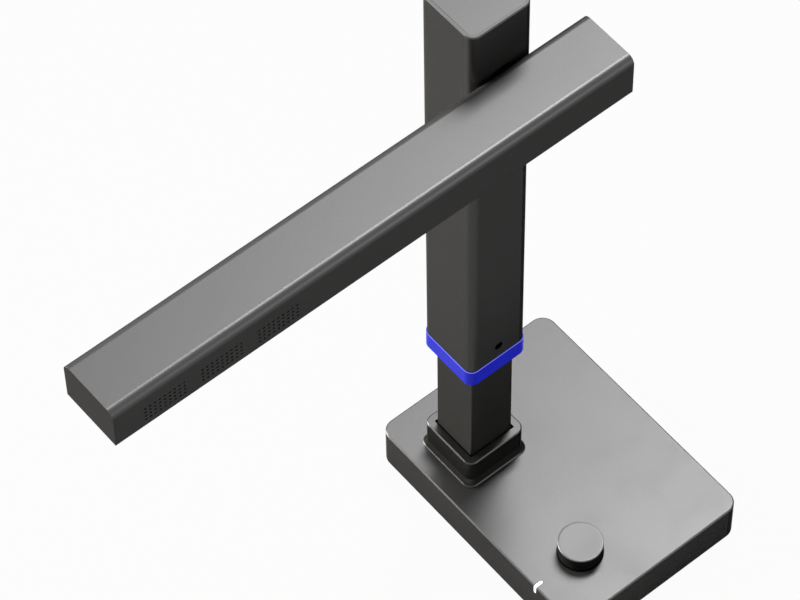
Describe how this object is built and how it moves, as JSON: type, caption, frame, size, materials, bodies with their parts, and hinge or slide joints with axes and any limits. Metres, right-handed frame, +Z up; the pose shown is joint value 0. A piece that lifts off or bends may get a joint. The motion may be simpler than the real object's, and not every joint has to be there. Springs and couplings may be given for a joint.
{
  "type": "document scanner",
  "caption": "Overhead document scanner: flat weighted base with dial, square telescoping mast, and a long camera and light arm that folds down beside it.",
  "frame": {"origin": "on the axis of the square mast, in the plane of the desk that the non-slip pad rests on", "axes": "+Z up along the mast; -Y towards the user and the page, along the arm; +X to the right, from the mast to the dial"},
  "size_m": [0.1588, 0.3387, 0.4107],
  "materials": {
    "graphite_shell": "satin graphite anodised aluminium",
    "dark_tube": "satin dark graphite",
    "dark_cover": "fine matt black moulding",
    "blue_ring": "satin cobalt blue moulding",
    "black_plastic": "matt black",
    "guide_polymer": "natural slide polymer",
    "pad_rubber": "matt black non-slip rubber",
    "brake_pad": "dense friction pad",
    "plate_steel": "zinc plated sheet",
    "ballast_iron": "cut steel block",
    "screw_steel": "plated screws",
    "bush_bronze": "sintered bronze",
    "foot_aluminium": "machined aluminium",
    "board_green": "printed circuit board",
    "chip_black": "moulded chips and sockets",
    "socket_metal": "drawn shell",
    "lead_black": "flexible lead",
    "white_guide": "milky white light guide",
    "diffuser": "frosted white diffuser",
    "light_board_white": "white coated board",
    "light_chip": "phosphor chips",
    "lens_coated": "coated lens element",
    "window_glass": "clear flat window"
  },
  "bodies": {
    "base": {"base_housing": "graphite_shell", "base_plate": "plate_steel", "non_slip_pad": "pad_rubber", "ballast_weight": "ballast_iron", "ballast_screws": "screw_steel", "plate_screws": "screw_steel", "main_board": "board_green", "board_chips": "chip_black", "board_screws": "screw_steel", "data_socket": "socket_metal", "power_socket": "black_plastic", "status_light_guide": "white_guide", "status_led": "white_guide", "mast_socket": "dark_tube", "socket_bolts": "screw_steel", "mast_foot": "foot_aluminium", "mast_bolts": "screw_steel", "mast_tube": "dark_tube", "top_guide": "guide_polymer", "friction_pads": "brake_pad", "pad_springs": "screw_steel", "base_lead": "lead_black", "harness_coil": "lead_black", "dial_seat": "black_plastic", "encoder_nut": "screw_steel", "encoder_body": "foot_aluminium", "encoder_switch": "screw_steel", "dial_board": "board_green"},
    "encoder": {"encoder_rotor": "bush_bronze"},
    "dial": {"dial_shaft": "screw_steel", "dial_core": "black_plastic", "dial_cap": "graphite_shell"},
    "sleeve": {"outer_sleeve": "graphite_shell", "sleeve_cap": "graphite_shell", "accent_ring": "blue_ring", "lower_guide": "guide_polymer", "guide_set_screw": "black_plastic", "hinge_plate": "plate_steel", "hinge_plate_screws": "screw_steel", "hinge_bush": "bush_bronze", "sleeve_lead": "lead_black"},
    "arm": {"arm_housing": "graphite_shell", "arm_cover": "dark_cover", "arm_cover_screws": "screw_steel", "pivot_shaft": "screw_steel", "pivot_screws": "screw_steel", "pivot_spacer": "black_plastic", "thrust_washer": "screw_steel", "spring_washers": "screw_steel", "pivot_nut": "screw_steel", "stop_pin": "screw_steel", "vent_screen": "black_plastic", "camera_board": "board_green", "lens_barrel": "dark_cover", "lens_element": "lens_coated", "lens_window": "window_glass", "light_boards": "light_board_white", "light_chips": "light_chip", "light_diffusers": "diffuser", "arm_lead": "lead_black"}
  },
  "joints": [
    {"name": "height_slide", "type": "slide", "parent": "base", "child": "sleeve", "axis": [0, 0, 1], "range_m": [-0.074, 0.04], "deforming": ["harness_coil"]},
    {"name": "arm_fold", "type": "hinge", "parent": "sleeve", "child": "arm", "pos_m": [0.0202, 0, 0.3661], "axis": [1, 0, 0], "range_deg": [0, 90]},
    {"name": "dial_turn", "type": "hinge", "parent": "base", "child": "encoder", "pos_m": [0.0863, 0, 0.026], "axis": [0, 0, 1], "continuous": true},
    {"name": "dial_push", "type": "slide", "parent": "encoder", "child": "dial", "axis": [0, 0, 1], "range_m": [-0.0006, 0], "stiffness_N_per_m": 2500, "springref_m": 0.0006}
  ]
}
